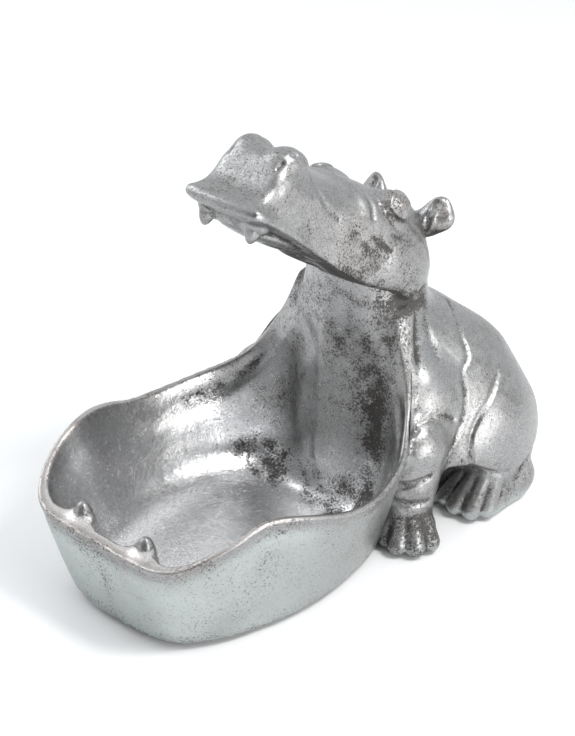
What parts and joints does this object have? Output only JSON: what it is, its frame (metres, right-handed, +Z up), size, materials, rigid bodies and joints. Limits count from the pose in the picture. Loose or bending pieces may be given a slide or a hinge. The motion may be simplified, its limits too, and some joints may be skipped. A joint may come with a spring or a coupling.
{
  "type": "sculptural storage bowl",
  "caption": "Crouching hippo table sculpture whose open lower jaw is a deep storage bowl, in antique silver leaf.",
  "frame": {"origin": "on the table, under the middle of the felt pad behind the bowl's middle", "axes": "+Z up, -Y the way the hippo faces, +X its left side"},
  "size_m": [0.2154, 0.3677, 0.3029],
  "materials": {
    "silver_leaf": "satin",
    "bare_resin": "matte",
    "felt": "matte"
  },
  "bodies": {
    "root": {"body": "silver_leaf", "bowl_pad_front": "felt", "bowl_pad_rear": "felt", "ear_left": "silver_leaf", "ear_right": "silver_leaf", "forefoot_pad_left": "felt", "forefoot_pad_right": "felt", "foreleg_left": "silver_leaf", "foreleg_right": "silver_leaf", "head": "silver_leaf", "hind_foot_pad_left": "felt", "hind_foot_pad_right": "felt", "hind_leg_left": "silver_leaf", "hind_leg_right": "silver_leaf", "lower_tusk_left": "silver_leaf", "lower_tusk_right": "silver_leaf", "mouth_bowl": "silver_leaf", "pour_plug": "bare_resin", "tail": "silver_leaf", "upper_tusk_left": "silver_leaf", "upper_tusk_right": "silver_leaf"}
  },
  "joints": []
}
